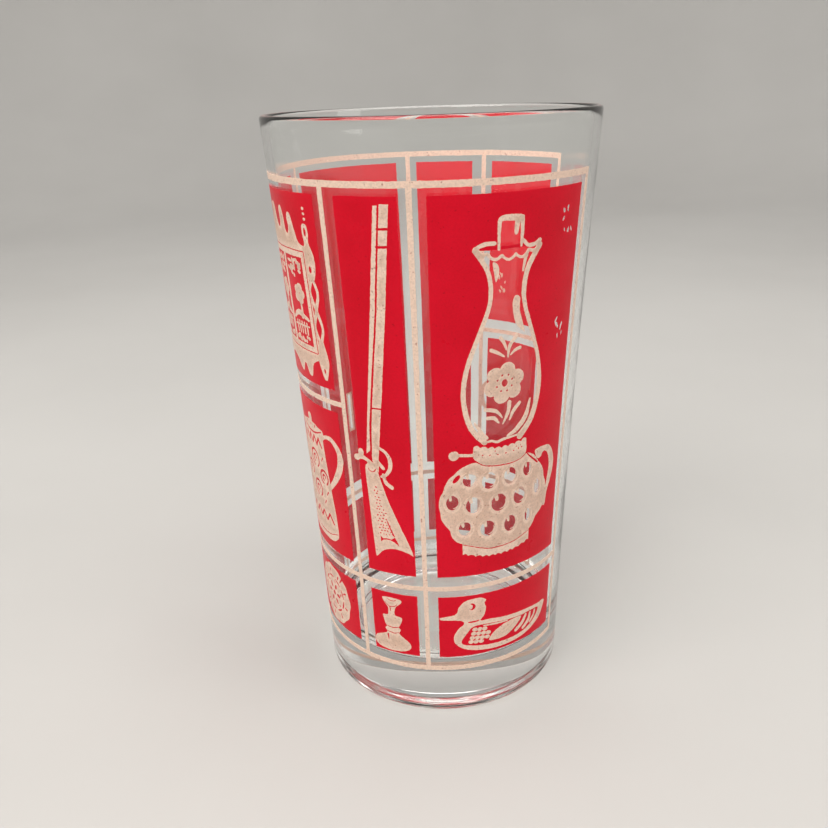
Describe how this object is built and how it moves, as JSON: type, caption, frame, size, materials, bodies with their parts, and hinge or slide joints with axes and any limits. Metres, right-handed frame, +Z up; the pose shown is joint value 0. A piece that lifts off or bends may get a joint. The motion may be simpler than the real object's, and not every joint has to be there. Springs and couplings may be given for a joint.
{
  "type": "pint glass",
  "caption": "Tapered clear glass pint tumbler with a thick foot and a red and cream enamel print of old household things in ruled frames round the outside.",
  "frame": {"origin": "middle of the foot, on the table", "axes": "+Z up along the axis of the glass, -Y towards the viewer, +X to the viewer's right"},
  "size_m": [0.0828, 0.0828, 0.149],
  "materials": {
    "clear_glass": "clear pressed soda-lime glass, fire-polished rim",
    "red_enamel": "satin, fired red glass enamel, satin gloss, slightly pinholed",
    "cream_enamel": "satin, fired cream glass enamel, satin gloss, slightly ragged edges"
  },
  "bodies": {
    "root": {"glass_tumbler": "clear_glass", "top_line": "cream_enamel", "middle_line": "cream_enamel", "base_line": "cream_enamel", "mirror_divider": "cream_enamel", "kettle_divider": "cream_enamel", "rule_kettle_left": "cream_enamel", "rule_kettle_broom": "cream_enamel", "rule_broom_chair": "cream_enamel", "rule_chair_mirror": "cream_enamel", "rule_mirror_musket": "cream_enamel", "rule_musket_lamp": "cream_enamel", "rule_lamp_right": "cream_enamel", "kettle_panel": "red_enamel", "jug_panel": "red_enamel", "iron_panel": "red_enamel", "broom_panel": "red_enamel", "key_panel": "red_enamel", "chair_panel": "red_enamel", "bowl_panel": "red_enamel", "mirror_panel": "red_enamel", "coffeepot_panel": "red_enamel", "plate_panel": "red_enamel", "musket_panel": "red_enamel", "candlestick_panel": "red_enamel", "lamp_panel": "red_enamel", "duck_panel": "red_enamel", "kettle_picture": "cream_enamel", "jug_picture": "cream_enamel", "iron_picture": "cream_enamel", "broom_picture": "cream_enamel", "key_picture": "cream_enamel", "chair_picture": "cream_enamel", "bowl_picture": "cream_enamel", "mirror_picture": "cream_enamel", "coffeepot_picture": "cream_enamel", "plate_picture": "cream_enamel", "musket_picture": "cream_enamel", "candlestick_picture": "cream_enamel", "lamp_chimney_picture": "cream_enamel", "lamp_flower_picture": "cream_enamel", "lamp_base_picture": "cream_enamel", "duck_picture": "cream_enamel"}
  },
  "joints": []
}
